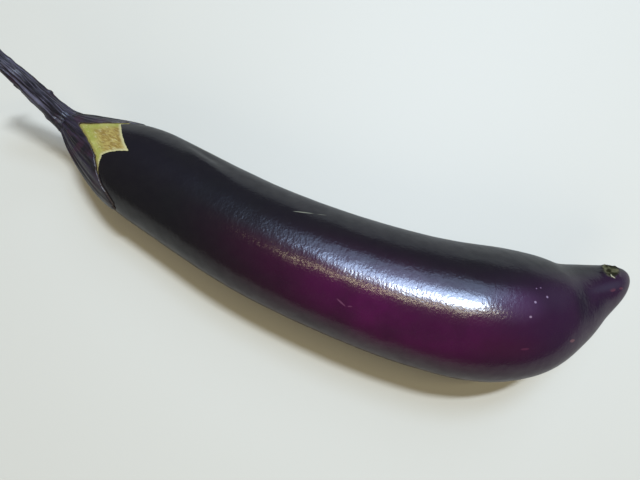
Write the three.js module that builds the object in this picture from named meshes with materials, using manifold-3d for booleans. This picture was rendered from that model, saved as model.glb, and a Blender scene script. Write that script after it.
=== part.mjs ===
// A long, gently curved eggplant lying on its side, as picked: the fruit, its calyx and its stem.
// Millimetres, +Z up, +X from the stem towards the blossom end. The origin is under the middle of the whole
// thing, on the surface that it rests on.
import * as THREE from "three";
import { mergeVertices } from "three/addons/utils/BufferGeometryUtils.js";
import Module from "manifold-3d";

const wasm = await Module();
wasm.setup();

// ---- Driving dimensions -------------------------------------------------------------------------------

// Stations along the fruit, from the stem end to the blossom end: the middle of the section and its radius.
// From the fifth station to the eighth the underside dips 0.4 mm below the surface that it lies on, which
// is what the fruit's own weight presses flat.
const FRUIT_STATIONS = [
  { x: -106.0, y: 14.0, z: 26.8, radius: 0 },
  { x: -94.0, y: 10.2, z: 24.6, radius: 11.3 },
  { x: -76.0, y: 6.0, z: 22.0, radius: 19.1 },
  { x: -49.0, y: 0.8, z: 22.4, radius: 21.8 },
  { x: -9.0, y: -6.1, z: 23.8, radius: 24.2 },
  { x: 31.0, y: -8.5, z: 25.3, radius: 25.7 },
  { x: 61.0, y: -7.6, z: 26.4, radius: 26.8 },
  { x: 85.0, y: -4.2, z: 27.1, radius: 27.5 },
  { x: 99.4, y: 1.3, z: 26.2, radius: 25.6 },
  { x: 108.2, y: 6.5, z: 25.5, radius: 21.8 },
  { x: 115.6, y: 10.9, z: 24.9, radius: 16.8 },
  { x: 121.3, y: 16.4, z: 24.3, radius: 13.2 },
  { x: 127.9, y: 21.4, z: 23.8, radius: 10.0 },
  { x: 133.9, y: 27.3, z: 23.3, radius: 6.7 },
  { x: 137.8, y: 31.3, z: 23.0, radius: 0 },
];
const FRUIT_RINGS = 52;
const FRUIT_SIDES = 40;

// Past the shoulder the section isn't quite round. It is fuller on the near side above and on the far side
// below, by this share of its radius, as if it leaned towards the near side.
const FRUIT_LEAN = 0.055;
const LEAN_START = 45; // distances along the fruit between which the lean sets in
const LEAN_FULL = 110;

// Stations along the stem, from the face on the calyx to the cut end, which is a little thicker.
const STEM_STATIONS = [
  { x: -109.1, y: 15.1, z: 27.5, radius: 5.1 },
  { x: -110.5, y: 15.5, z: 27.8, radius: 4.9 },
  { x: -113.9, y: 17.1, z: 31.0, radius: 4.5 },
  { x: -117.8, y: 18.8, z: 35.0, radius: 4.2 },
  { x: -124.2, y: 21.8, z: 41.5, radius: 3.8 },
  { x: -130.6, y: 24.3, z: 47.0, radius: 3.1 },
  { x: -134.0, y: 26.1, z: 50.3, radius: 3.1 },
  { x: -137.0, y: 27.6, z: 53.2, radius: 3.6 },
];
const STEM_RINGS = 14;
const STEM_RIDGES = 5;
const STEM_RIDGE_SHARE = 0.06; // how far a ridge stands out, as a share of the stem's radius
const STEM_SIDES = 5 * STEM_RIDGES;

// The calyx's outline: reach is the distance over the skin from the middle of the shoulder to the edge, at a
// bearing round the fruit that counts from the far side (0) over the top (90). Four lobes still stand, two of
// them underneath. A fifth has come away from the top, at about 75 degrees, and left a notch by the stem.
const CALYX_OUTLINE = [
  { bearing: -34, reach: 19 },
  { bearing: -20, reach: 22 },
  { bearing: -6, reach: 29 },
  { bearing: 6, reach: 34 },
  { bearing: 16, reach: 34 },
  { bearing: 26, reach: 29 },
  { bearing: 37, reach: 24 },
  { bearing: 48, reach: 18.5 },
  { bearing: 60, reach: 14 },
  { bearing: 74, reach: 10 },
  { bearing: 87, reach: 14.5 },
  { bearing: 96, reach: 19.5 },
  { bearing: 106, reach: 25.5 },
  { bearing: 117, reach: 30 },
  { bearing: 130, reach: 34 },
  { bearing: 142, reach: 41 },
  { bearing: 154, reach: 45.5 },
  { bearing: 166, reach: 45 },
  { bearing: 178, reach: 35 },
  { bearing: 194, reach: 24 },
  { bearing: 212, reach: 29 },
  { bearing: 228, reach: 38 },
  { bearing: 244, reach: 27 },
  { bearing: 264, reach: 20 },
  { bearing: 284, reach: 28 },
  { bearing: 300, reach: 36 },
  { bearing: 314, reach: 27 },
];
const CALYX_STEPS_PER_POINT = 3;
const CALYX_BLADE_RINGS = 7;
const CALYX_BLADE_THICKNESS = 1.3; // next to the collar
const CALYX_EDGE_THICKNESS = 0.8;

// The collar is the thick middle of the calyx, which the stem stands on.
const COLLAR_RINGS = 3;
const COLLAR_RADIUS = 4.4;
const COLLAR_HEIGHT = 3.0; // over the middle of the shoulder
const COLLAR_FOOT = 5; // how far the collar's slope runs out over the blade

const GAP = 0.3; // between neighbouring solids

// ---- Curves -------------------------------------------------------------------------------------------

// A smooth body through stations: at any distance along it, the middle of the section and its radius. The
// radius is held as its square, which runs straight where an end is round.
class Body {
  constructor(stations, lean = 0) {
    this.lean = lean;
    const along = [0];
    for (let i = 1; i < stations.length; i++) {
      const here = new THREE.Vector3(stations[i].x, stations[i].y, stations[i].z);
      const last = new THREE.Vector3(stations[i - 1].x, stations[i - 1].y, stations[i - 1].z);
      along.push(along[i - 1] + here.distanceTo(last));
    }
    const values = stations.flatMap((s) => [s.x, s.y, s.z, s.radius ** 2]);
    this.interpolant = new THREE.CubicInterpolant(along, values, 4);
    this.length = along.at(-1);
  }

  at(along) {
    const [x, y, z, squared] = this.interpolant.evaluate(THREE.MathUtils.clamp(along, 0, this.length));
    return { middle: new THREE.Vector3(x, y, z), radius: Math.sqrt(Math.max(0, squared)) };
  }

  // The section's own directions: forward along the body, side to the far side and up.
  frameAt(along) {
    const step = this.length / 500;
    const low = THREE.MathUtils.clamp(along, step, this.length - step) - step;
    const forward = this.at(low + 2 * step).middle.sub(this.at(low).middle).normalize();
    const side = new THREE.Vector3(0, 0, 1).cross(forward).normalize();
    return { forward, side, up: forward.clone().cross(side) };
  }

  // A point off the middle, at a bearing round the body. The distance is the one on a round section.
  pointAt(along, bearing, distance, forwards = 0) {
    const { forward, side, up } = this.frameAt(along);
    const lean = this.lean * THREE.MathUtils.smoothstep(along, LEAN_START, LEAN_FULL);
    const leaning = distance * (1 - lean * Math.sin(2 * bearing));
    return this.at(along)
      .middle.addScaledVector(side, leaning * Math.cos(bearing))
      .addScaledVector(up, leaning * Math.sin(bearing))
      .addScaledVector(forward, forwards);
  }
}

const fruitBody = new Body(FRUIT_STATIONS, FRUIT_LEAN);
const stemBody = new Body(STEM_STATIONS);

// Moves every vertex of a geometry by a function of its place.
function warp(geometry, move) {
  const position = geometry.getAttribute("position");
  for (let i = 0; i < position.count; i++) {
    const moved = move(new THREE.Vector3().fromBufferAttribute(position, i));
    position.setXYZ(i, moved.x, moved.y, moved.z);
  }
  return geometry;
}

// A LatheGeometry stands along +Y. This lays it along a body: its height becomes the distance along, and its
// own +Z goes down, which keeps its faces outwards.
function bendAlong(body, geometry) {
  return warp(geometry, (p) => body.pointAt(p.y, Math.atan2(-p.z, p.x), Math.hypot(p.x, p.z)));
}

// ---- Solids -------------------------------------------------------------------------------------------

function solidOf(geometry) {
  const bare = geometry.clone();
  bare.deleteAttribute("normal");
  bare.deleteAttribute("uv");
  const merged = mergeVertices(bare, 1e-3);
  return new wasm.Manifold(
    new wasm.Mesh({
      numProp: 3,
      vertProperties: merged.attributes.position.array,
      triVerts: new Uint32Array(merged.index.array),
    }),
  );
}

function geometryOf(solid) {
  const mesh = solid.getMesh();
  const geometry = new THREE.BufferGeometry();
  geometry.setAttribute("position", new THREE.BufferAttribute(new Float32Array(mesh.vertProperties), 3));
  geometry.setIndex(new THREE.BufferAttribute(new Uint32Array(mesh.triVerts), 1));
  geometry.computeVertexNormals();
  return geometry;
}

// The fruit: a lathe profile that starts and ends on the axis, laid along the curved body, with everything
// below the surface that it rests on cut away. The rings are closest at the two round ends.
function makeFruit() {
  const profile = [];
  for (let i = 0; i <= FRUIT_RINGS; i++) {
    const along = (fruitBody.length * (1 - Math.cos((Math.PI * i) / FRUIT_RINGS))) / 2;
    profile.push(new THREE.Vector2(fruitBody.at(along).radius, along));
  }
  const whole = bendAlong(fruitBody, new THREE.LatheGeometry(profile, FRUIT_SIDES));
  const surfaceDepth = 10;
  const surface = new THREE.BoxGeometry(400, 400, surfaceDepth).translate(0, 0, -surfaceDepth / 2);
  return geometryOf(solidOf(whole).subtract(solidOf(surface)));
}

// The distance along the fruit at which a line over the skin from the middle of the shoulder has gone as
// far as reach.
function alongAtReach(reach) {
  const step = 0.1;
  let along = 0;
  for (let gone = 0; gone < reach; along += step) {
    gone += Math.hypot(step, fruitBody.at(along + step).radius - fruitBody.at(along).radius);
  }
  return along;
}

// A point at a height over the fruit's skin, square to it.
function overSkin(reach, bearing, height) {
  const along = alongAtReach(reach);
  const before = Math.max(0, along - 0.5);
  const after = along + 0.5;
  const rise = fruitBody.at(after).radius - fruitBody.at(before).radius;
  const slope = reach === 0 ? Math.PI / 2 : Math.atan2(rise, after - before);
  const distance = fruitBody.at(along).radius + height * Math.cos(slope);
  return fruitBody.pointAt(along, bearing, distance, -height * Math.sin(slope));
}

// The height of the calyx's outer face over the skin: a collar with a level top, whose slope runs out on a
// blade that thins towards the edge.
function calyxHeight(reach, shareOfBlade) {
  const { lerp, smoothstep } = THREE.MathUtils;
  const collar = COLLAR_HEIGHT + alongAtReach(Math.min(reach, COLLAR_RADIUS));
  const blade = GAP + lerp(CALYX_BLADE_THICKNESS, CALYX_EDGE_THICKNESS, shareOfBlade);
  return lerp(collar, blade, smoothstep(reach, COLLAR_RADIUS, COLLAR_RADIUS + COLLAR_FOOT));
}

// The calyx: a lathe-turned disc whose rim is drawn out to the lobed outline, wrapped over the fruit's
// shoulder. In the profile, 0 to 1 is the collar and 1 to 2 is the blade; the height is 0 on the inner face
// and 1 on the outer.
function makeCalyx() {
  const outline = new THREE.CatmullRomCurve3(
    CALYX_OUTLINE.map(({ bearing, reach }) => {
      const angle = THREE.MathUtils.degToRad(bearing);
      return new THREE.Vector3(reach * Math.cos(angle), 0, reach * Math.sin(angle));
    }),
    true,
    "centripetal",
  );
  const rings = [0];
  for (let i = 1; i <= COLLAR_RINGS; i++) rings.push(i / COLLAR_RINGS);
  for (let i = 1; i <= CALYX_BLADE_RINGS; i++) rings.push(1 + i / CALYX_BLADE_RINGS);
  const inner = rings.map((ring) => new THREE.Vector2(ring, 0));
  const outer = rings.map((ring) => new THREE.Vector2(ring, 1)).reverse();
  const sides = CALYX_OUTLINE.length * CALYX_STEPS_PER_POINT;
  return warp(new THREE.LatheGeometry([...inner, ...outer], sides), (p) => {
    const ring = Math.hypot(p.x, p.z);
    const turn = (Math.atan2(p.z, p.x) / (2 * Math.PI) + 1) % 1;
    const edge = outline.getPoint(turn);
    const shareOfBlade = Math.max(0, ring - 1);
    const inCollar = COLLAR_RADIUS * Math.min(1, ring);
    const reach = inCollar + (Math.hypot(edge.x, edge.z) - COLLAR_RADIUS) * shareOfBlade;
    const height = p.y === 0 ? GAP : calyxHeight(reach, shareOfBlade);
    return overSkin(ring < 1e-6 ? 0 : reach, ring < 1e-6 ? 0 : Math.atan2(edge.z, edge.x), height);
  });
}

// The stem: a lathe profile with two flat ends, laid along its own curve, with blunt ridges round it.
function makeStem() {
  const profile = [new THREE.Vector2(0, 0)];
  for (let i = 0; i <= STEM_RINGS; i++) {
    const along = (stemBody.length * i) / STEM_RINGS;
    profile.push(new THREE.Vector2(stemBody.at(along).radius, along));
  }
  profile.push(new THREE.Vector2(0, stemBody.length));
  const round = new THREE.LatheGeometry(profile, STEM_SIDES);
  const ridged = warp(round, (p) => {
    const ridge = 1 + STEM_RIDGE_SHARE * Math.cos(STEM_RIDGES * Math.atan2(p.z, p.x));
    return new THREE.Vector3(p.x * ridge, p.y, p.z * ridge);
  });
  return bendAlong(stemBody, ridged);
}

// ---- The part -----------------------------------------------------------------------------------------

function mesh(name, geometry, color, roughness) {
  const made = new THREE.Mesh(geometry, new THREE.MeshStandardMaterial({ color, roughness, metalness: 0 }));
  made.name = name;
  return made;
}

const eggplant = new THREE.Group();
eggplant.add(mesh("fruit", makeFruit(), 0x2a1026, 0.25));
eggplant.add(mesh("calyx", makeCalyx(), 0x2c2233, 0.7));
eggplant.add(mesh("stem", makeStem(), 0x3a3046, 0.75));

// The origin goes under the middle of the whole part's box, on the surface that it rests on.
const box = new THREE.Box3().setFromObject(eggplant);
const middle = box.getCenter(new THREE.Vector3());
eggplant.position.set(-middle.x, -middle.y, -box.min.z);

export default eggplant;
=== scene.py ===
# %% [markdown]
# # A long purple eggplant, lying as it was picked
# An eggplant is three kinds of surface close together: a waxy skin that is almost black, a leathery calyx
# over the shoulder, and a fibrous stem. This lesson builds one of each around a fixed frame, which gives the
# size and the place of every piece. All lengths are in metres, and MM turns a millimetre into metres.

import math

import bmesh
import bpy
import numpy as np
from mathutils import Matrix, Vector


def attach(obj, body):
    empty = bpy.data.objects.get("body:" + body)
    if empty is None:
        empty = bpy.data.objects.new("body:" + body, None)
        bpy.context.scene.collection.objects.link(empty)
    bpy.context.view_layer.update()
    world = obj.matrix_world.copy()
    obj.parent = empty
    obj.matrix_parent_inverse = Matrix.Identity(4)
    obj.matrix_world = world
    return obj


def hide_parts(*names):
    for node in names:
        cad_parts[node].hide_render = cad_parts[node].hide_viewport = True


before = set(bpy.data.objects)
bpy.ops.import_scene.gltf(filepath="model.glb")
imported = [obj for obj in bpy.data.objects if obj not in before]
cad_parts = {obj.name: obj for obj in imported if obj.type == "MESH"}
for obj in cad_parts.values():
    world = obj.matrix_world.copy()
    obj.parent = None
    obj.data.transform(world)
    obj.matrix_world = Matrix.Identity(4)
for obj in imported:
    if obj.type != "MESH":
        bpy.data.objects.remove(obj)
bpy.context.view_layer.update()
MM = 0.001

# %% [markdown]
# ## Camera
# The eggplant is looked at from almost straight above, and from close by, so the perspective is strong: the
# stem end and the belly lean away from the middle. A camera's place is easiest to give as a point that it
# looks at, two angles and a distance.

# %% Camera
LOOK_AT = Vector((11.0, 6.2, 0)) * MM
CAMERA_AZIMUTH = math.radians(19.4)
CAMERA_ELEVATION = math.radians(80)
CAMERA_DISTANCE = 249 * MM


def direction(azimuth, elevation):
    """The direction towards something seen at an azimuth, from -Y towards +X, and an elevation."""
    level = math.cos(elevation)
    return Vector((math.sin(azimuth) * level, -math.cos(azimuth) * level, math.sin(elevation)))


camera = bpy.data.objects.new("camera", bpy.data.cameras.new("camera"))
bpy.context.collection.objects.link(camera)
camera.data.lens = 30
camera.data.sensor_width = 36
camera.data.clip_start = 10 * MM
camera.location = LOOK_AT + direction(CAMERA_AZIMUTH, CAMERA_ELEVATION) * CAMERA_DISTANCE
camera.rotation_euler = (math.pi / 2 - CAMERA_ELEVATION, 0, CAMERA_AZIMUTH)
bpy.context.scene.camera = camera

# %% [markdown]
# ## Trees of nodes
# Both the shapes and the materials below are trees of nodes. A tree is easier to read as a list of calls,
# so one helper adds a node, fills its inputs with values or with other nodes' outputs, and hands back its
# outputs. The others make the sums, steps, blends and noise that come up all the time.

# %% Helpers for trees
def add(tree, kind, inputs=None, **settings):
    """Adds a node to a tree and returns its outputs."""
    node = tree.nodes.new(kind)
    for setting, value in settings.items():
        setattr(node, setting, value)
    for key, value in (inputs or {}).items():
        if isinstance(value, bpy.types.NodeSocket):
            tree.links.new(value, node.inputs[key])
        else:
            node.inputs[key].default_value = value
    return node.outputs


def calculate(tree, operation, *values, clamp=False):
    """The result of a sum on numbers or sockets."""
    return add(tree, "ShaderNodeMath", dict(enumerate(values)), operation=operation, use_clamp=clamp)[0]


def between(tree, value, low, high, to_low=0.0, to_high=1.0):
    """A smooth step: to_low where value is under low, to_high where it is over high."""
    inputs = {"Value": value, "From Min": low, "From Max": high, "To Min": to_low, "To Max": to_high}
    return add(tree, "ShaderNodeMapRange", inputs, interpolation_type="SMOOTHSTEP")["Result"]


def blend(tree, share, first, second):
    """A colour between two colours."""
    return add(tree, "ShaderNodeMix", {0: share, 6: first, 7: second}, data_type="RGBA")[2]


def noise(tree, place, scale, detail=2.0, roughness=0.5, distortion=0.0):
    """Noise from 0 to 1, with scale bumps to a metre."""
    inputs = {"Vector": place, "Scale": scale, "Detail": detail, "Roughness": roughness,
              "Distortion": distortion}
    return add(tree, "ShaderNodeTexNoise", inputs)[0]


def color(red, green, blue):
    """A colour with its alpha."""
    return (red, green, blue, 1.0)


# %% [markdown]
# ## Light and floor
# A dark, waxy skin shows little more than what it reflects, so the lamps draw most of what is seen. One
# cool lamp, high up and a little to the far side, draws the highlight on the ridge and casts the shadow.
# Two wider, bluer ones beyond it stand in for a window, brighter in its middle, and spread that highlight
# out. A thin, warm tube almost overhead draws the narrow streak beside it. A big, soft lamp on the near
# side lightens the shadow. It is kept out of the reflections, where it would draw a second highlight. The
# room is dim, so the rest stays dark. The lamps are strong, so the plain floor's own colour is greyer than
# it looks.

# %% Light and floor
ROOM_LIGHT = 0.20
ROOM_TINT = color(1.0, 0.95, 0.82)
FLOOR_COLOR = color(0.405, 0.37, 0.305)
LAMP_DISTANCE = 1.6
LAMP_HEADING = Vector((0.87, 0.48, 0.04))  # the way a lamp's width runs, as the highlight does
SKY_BLUE = (0.48, 0.67, 1.0)


def lamp(name, toward, width, depth, power, tint, shape="ELLIPSE", gleams=True):
    """A flat lamp in a direction from the middle of the eggplant, facing it, with its width along the
    fruit. One that doesn't gleam lights things up without being seen in their shine."""
    light = bpy.data.lights.new(name, "AREA")
    light.shape = shape
    light.size = width
    light.size_y = depth
    light.energy = power
    light.color = tint
    placed = bpy.data.objects.new(name, light)
    bpy.context.collection.objects.link(placed)
    back = Vector(toward).normalized()
    across = (LAMP_HEADING - back * back.dot(LAMP_HEADING)).normalized()
    placed.location = back * LAMP_DISTANCE
    placed.rotation_euler = Matrix((across, back.cross(across), back)).transposed().to_euler()
    placed.visible_glossy = gleams


lamp("key_lamp", (0.11, 0.28, 0.96), width=0.30, depth=0.085, power=30, tint=(0.72, 0.84, 1.0))
lamp("window_middle", (0.04, 0.41, 0.90), width=0.62, depth=0.36, power=15, tint=SKY_BLUE)
lamp("window_rest", (0.08, 0.62, 0.78), width=0.90, depth=0.80, power=8, tint=SKY_BLUE)
lamp("warm_tube", (0.06, 0.065, 1.0), width=1.1, depth=0.040, power=5.5, tint=(1.0, 0.90, 0.55),
     shape="RECTANGLE")
lamp("room_behind", (0.05, -0.80, 0.60), width=1.2, depth=1.0, power=7, tint=(1.0, 0.95, 0.80),
     gleams=False)

world = bpy.data.worlds.new("room")
world.use_nodes = True
world.node_tree.nodes["Background"].inputs["Color"].default_value = ROOM_TINT
world.node_tree.nodes["Background"].inputs["Strength"].default_value = ROOM_LIGHT
bpy.context.scene.world = world
bpy.context.scene.view_settings.view_transform = "Standard"
print("Lamps:", len(bpy.data.lights))


def new_material(name, **values):
    """A material with the values that are the same all over it. Returns it, its tree and its shader."""
    made = bpy.data.materials.new(name)
    made.use_nodes = True
    shader = made.node_tree.nodes["Principled BSDF"]
    for key, value in values.items():
        shader.inputs[key.replace("_", " ")].default_value = value
    return made, made.node_tree, shader


FLOOR_HALF = 1.5
FLOOR_DROP = 0.05 * MM  # clear of the underside, which lies on the same level
floor_mesh = bpy.data.meshes.new("floor")
floor_corners = [(-FLOOR_HALF, -FLOOR_HALF), (FLOOR_HALF, -FLOOR_HALF),
                 (FLOOR_HALF, FLOOR_HALF), (-FLOOR_HALF, FLOOR_HALF)]
floor_mesh.from_pydata([(x, y, -FLOOR_DROP) for x, y in floor_corners], [], [(0, 1, 2, 3)])
floor = bpy.data.objects.new("floor", floor_mesh)
bpy.context.collection.objects.link(floor)
floor_material, _, _ = new_material("plain_floor", Base_Color=FLOOR_COLOR, Roughness=0.62)
floor_mesh.materials.append(floor_material)

# %% [markdown]
# ## A body along a spine
# The fruit and the stem are both round bodies along a bent spine. Each is known by a few stations: the
# middle of a section and its radius. A cubic runs through them. Its slope at a station is the mean of the
# slopes on the two sides, and it works on the square of the radius, which runs straight where an end is
# round. Waxy skin shows the slightest kink as a bent highlight, so the result is then smoothed a little.

# %% A body along a spine
FRUIT_STATIONS = [  # x, y, z and radius in millimetres, from the stem end to the blossom end
    (-106.0, 14.0, 26.8, 0),
    (-94.0, 10.2, 24.6, 11.3),
    (-76.0, 6.0, 22.0, 19.1),
    (-49.0, 0.8, 22.4, 21.8),
    (-9.0, -6.1, 23.8, 24.2),
    (31.0, -8.5, 25.3, 25.7),
    (61.0, -7.6, 26.4, 26.8),
    (85.0, -4.2, 27.1, 27.5),
    (99.4, 1.3, 26.2, 25.6),
    (108.2, 6.5, 25.5, 21.8),
    (115.6, 10.9, 24.9, 16.8),
    (121.3, 16.4, 24.3, 13.2),
    (127.9, 21.4, 23.8, 10.0),
    (133.9, 27.3, 23.3, 6.7),
    (137.8, 31.3, 23.0, 0),
]
STEM_STATIONS = [  # from inside the calyx to the cut
    (-104.6, 13.7, 26.0, 6.4),
    (-106.0, 14.1, 26.3, 6.1),
    (-107.7, 14.6, 26.9, 5.6),
    (-109.1, 15.1, 27.5, 5.1),
    (-110.5, 15.5, 27.8, 4.9),
    (-113.9, 17.1, 31.0, 4.5),
    (-117.8, 18.8, 35.0, 4.2),
    (-124.2, 21.8, 41.5, 3.8),
    (-130.6, 24.3, 47.0, 3.1),
    (-134.0, 26.1, 50.3, 3.1),
    (-137.0, 27.6, 53.2, 3.6),
]
FRUIT_LEAN = 0.055  # past the shoulder the section is fuller on the near side above, by this share
LEAN_START = 45 * MM  # distances along the fruit between which the lean sets in
LEAN_FULL = 110 * MM
FAR_START = 60 * MM  # distances between which the smoothing grows to that of the blossom end
FAR_FULL = 130 * MM
FINE_STEPS = 4000


def smooth_step(value, low, high):
    """0 under low, 1 over high, and smooth between."""
    t = np.clip((value - low) / (high - low), 0, 1)
    return t * t * (3 - 2 * t)


def through(stations):
    """The cubic through the stations, at many even steps: the distances and the x, y, z and radius there."""
    values = np.array(stations, dtype=float) * MM
    steps = np.linalg.norm(np.diff(values[:, :3], axis=0), axis=1)
    known = np.concatenate([[0], np.cumsum(steps)])
    values[:, 3] **= 2
    chords = np.diff(values, axis=0) / steps[:, None]
    slopes = np.vstack([chords[:1], (chords[1:] + chords[:-1]) / 2, chords[-1:]])
    along = np.linspace(0, known[-1], FINE_STEPS + 1)
    left = np.clip(np.searchsorted(known, along, side="right") - 1, 0, len(steps) - 1)
    width = steps[left][:, None]
    t = ((along - known[left]) / steps[left])[:, None]
    rise = 3 * t**2 - 2 * t**3
    curve = values[left] * (1 - rise) + values[left + 1] * rise
    curve += width * (slopes[left] * (t**3 - 2 * t**2 + t) + slopes[left + 1] * (t**3 - t**2))
    return along, curve


def smoothed(curve, reach):
    """The same rows with each one averaged over its neighbours within about reach rows. The ends stay."""
    before = 2 * curve[:1] - curve[3 * reach:0:-1]
    after = 2 * curve[-1:] - curve[-2:-3 * reach - 2:-1]
    longer = np.vstack([before, curve, after])
    weights = np.exp(-0.5 * (np.arange(-3 * reach, 3 * reach + 1) / reach) ** 2)
    weights /= weights.sum()
    return np.column_stack([np.convolve(column, weights, mode="valid") for column in longer.T])


class Body:
    """A round body along a spine."""

    def __init__(self, stations, smoothing, far_smoothing=None, lean=0.0):
        self.lean = lean
        self.along, raw = through(stations)
        self.length = self.along[-1]
        curve = smoothed(raw, int(smoothing / self.length * FINE_STEPS))
        if far_smoothing:
            far = smooth_step(self.along, FAR_START, FAR_FULL)[:, None]
            softer = smoothed(raw, int(far_smoothing / self.length * FINE_STEPS))
            curve = curve * (1 - far) + softer * far
        self.middle = curve[:, :3]
        self.radius = np.sqrt(np.clip(curve[:, 3], 0, None))
        forward = np.gradient(self.middle, axis=0)
        self.forward = forward / np.linalg.norm(forward, axis=1)[:, None]
        side = np.cross((0, 0, 1), self.forward)
        self.side = side / np.linalg.norm(side, axis=1)[:, None]
        self.up = np.cross(self.forward, self.side)
        self.slope = np.arctan(np.gradient(self.radius, self.along))
        steps = np.hypot(np.diff(self.along), np.diff(self.radius))
        self.over_skin = np.concatenate([[0], np.cumsum(steps)])

    def look_up(self, table, along):
        """A table's rows at distances along the spine."""
        if table.ndim == 1:
            return np.interp(along, self.along, table)
        return np.stack([np.interp(along, self.along, column) for column in table.T], axis=-1)

    def outward(self, along, bearing):
        """Unit vectors away from the spine. A bearing counts from the far side, over the top."""
        across = np.cos(bearing)[..., None] * self.look_up(self.side, along)
        return across + np.sin(bearing)[..., None] * self.look_up(self.up, along)

    def leaning(self, along, bearing):
        """How much further out than on a round section the skin is, as a factor."""
        share = self.lean * smooth_step(along, LEAN_START, LEAN_FULL)
        return 1 - share * np.sin(2 * bearing)

    def at_height(self, along, bearing, height):
        """Points at a height over the skin, square to it."""
        slope = self.look_up(self.slope, along)[..., None]
        outward = self.outward(along, bearing)
        square = outward * np.cos(slope) - self.look_up(self.forward, along) * np.sin(slope)
        radius = self.look_up(self.radius, along) * self.leaning(along, bearing)
        skin = self.look_up(self.middle, along) + outward * radius[..., None]
        return skin + square * np.asarray(height)[..., None]

    def along_at(self, reach):
        """The distance along the spine where a line over the skin from the first end has gone this far."""
        return np.interp(reach, self.over_skin, self.along)


fruit_body = Body(FRUIT_STATIONS, smoothing=2 * MM, far_smoothing=5 * MM, lean=FRUIT_LEAN)
stem_body = Body(STEM_STATIONS, smoothing=1 * MM)
print("Along its spine the fruit is", round(fruit_body.length / MM), "mm long, and the stem",
      round(stem_body.length / MM), "mm")

# %% [markdown]
# ## Growing a skin along the spine
# A plant's long parts grow as a section carried along a spine, so a Geometry Nodes tree makes them the same
# way: it turns a line of points into a curve and sweeps a round profile along it, sized by each point's
# radius. Every point of the result keeps its distance along. The profile can have blunt ridges. The tree
# serves the fruit and the stem alike.

# %% The sweep tree
SAME_PLACE = 0.001 * MM  # points closer than this are merged


def input_socket(tree, name, kind, value=None):
    """Adds a named input to a tree and returns its socket's identifier."""
    socket = tree.interface.new_socket(name=name, in_out="INPUT", socket_type=kind)
    if value is not None:
        socket.default_value = value
    return socket.identifier


def make_sweep_tree():
    """A round profile, with or without ridges, swept along a line of points that carry a radius."""
    tree = bpy.data.node_groups.new("grown_along_a_spine", "GeometryNodeTree")
    identifiers = {
        "Spine": input_socket(tree, "Spine", "NodeSocketGeometry"),
        "Sides": input_socket(tree, "Sides", "NodeSocketInt", 64),
        "Ridges": input_socket(tree, "Ridges", "NodeSocketInt", 0),
        "Ridge Share": input_socket(tree, "Ridge Share", "NodeSocketFloat", 0.0),
        "Closed Ends": input_socket(tree, "Closed Ends", "NodeSocketBool", False),
        "Finish": input_socket(tree, "Finish", "NodeSocketMaterial"),
    }
    tree.interface.new_socket(name="Body", in_out="OUTPUT", socket_type="NodeSocketGeometry")
    given = add(tree, "NodeGroupInput")
    curve = add(tree, "GeometryNodeMeshToCurve", {"Mesh": given["Spine"]})["Curve"]
    curve = add(tree, "GeometryNodeSetCurveNormal", {"Curve": curve}, mode="Z_UP")["Curve"]

    ring = add(tree, "GeometryNodeCurvePrimitiveCircle", {"Resolution": given["Sides"], "Radius": 1.0})
    turn = add(tree, "GeometryNodeSplineParameter")["Factor"]
    angle = calculate(tree, "MULTIPLY", calculate(tree, "MULTIPLY", turn, math.tau), given["Ridges"])
    ridge = calculate(tree, "MULTIPLY_ADD", calculate(tree, "COSINE", angle), given["Ridge Share"], 1.0)
    place = add(tree, "GeometryNodeInputPosition")[0]
    ridged = add(tree, "ShaderNodeVectorMath", {0: place, "Scale": ridge}, operation="SCALE")[0]
    ring = add(tree, "GeometryNodeSetPosition", {"Geometry": ring["Curve"], "Position": ridged})["Geometry"]

    radius = add(tree, "GeometryNodeInputNamedAttribute", {"Name": "radius"}, data_type="FLOAT")[0]
    swept = add(tree, "GeometryNodeCurveToMesh",
                {"Curve": curve, "Profile Curve": ring, "Scale": radius,
                 "Fill Caps": given["Closed Ends"]})["Mesh"]
    closed = add(tree, "GeometryNodeMergeByDistance",
                 {"Geometry": swept, "Distance": SAME_PLACE})["Geometry"]
    smooth = add(tree, "GeometryNodeSetShadeSmooth", {"Geometry": closed})["Geometry"]
    real = add(tree, "GeometryNodeRealizeInstances", {"Geometry": smooth})["Geometry"]
    finished = add(tree, "GeometryNodeSetMaterial",
                   {"Geometry": real, "Material": given["Finish"]})["Geometry"]
    add(tree, "NodeGroupOutput", {"Body": finished})
    return tree, identifiers


def grown(name, source, tree, identifiers, **values):
    """Runs a tree on a mesh and returns the result as a plain mesh object."""
    maker = bpy.data.objects.new(name + "_maker", source)
    bpy.context.collection.objects.link(maker)
    modifier = maker.modifiers.new("grow", "NODES")
    modifier.node_group = tree
    for key, value in values.items():
        modifier[identifiers[key.replace("_", " ")]] = value
    evaluated = maker.evaluated_get(bpy.context.evaluated_depsgraph_get())
    made = bpy.data.objects.new(name, bpy.data.meshes.new_from_object(evaluated))
    bpy.context.collection.objects.link(made)
    bpy.data.objects.remove(maker)
    made.data.name = name
    return made


def spine_mesh(body, along):
    """A line of points on a body's spine, each with its radius and its distance along."""
    mesh = bpy.data.meshes.new("spine")
    places = body.look_up(body.middle, along)
    mesh.from_pydata(places.tolist(), [(i, i + 1) for i in range(len(along) - 1)], [])
    for name, values in (("radius", body.look_up(body.radius, along)), ("along", along)):
        mesh.attributes.new(name, "FLOAT", "POINT").data.foreach_set("value", values)
    return mesh


sweep_tree, sweep_inputs = make_sweep_tree()

# %% [markdown]
# ## Reading a mesh as arrays
# The relief of the skin is a sum of many small, smooth dents and swellings. Working on all points of a mesh
# at once, as arrays, keeps each of them to one line.

# %% Meshes as arrays
def read_points(mesh):
    """All points of a mesh as an array."""
    places = np.empty(len(mesh.vertices) * 3)
    mesh.vertices.foreach_get("co", places)
    return places.reshape(-1, 3)


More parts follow.
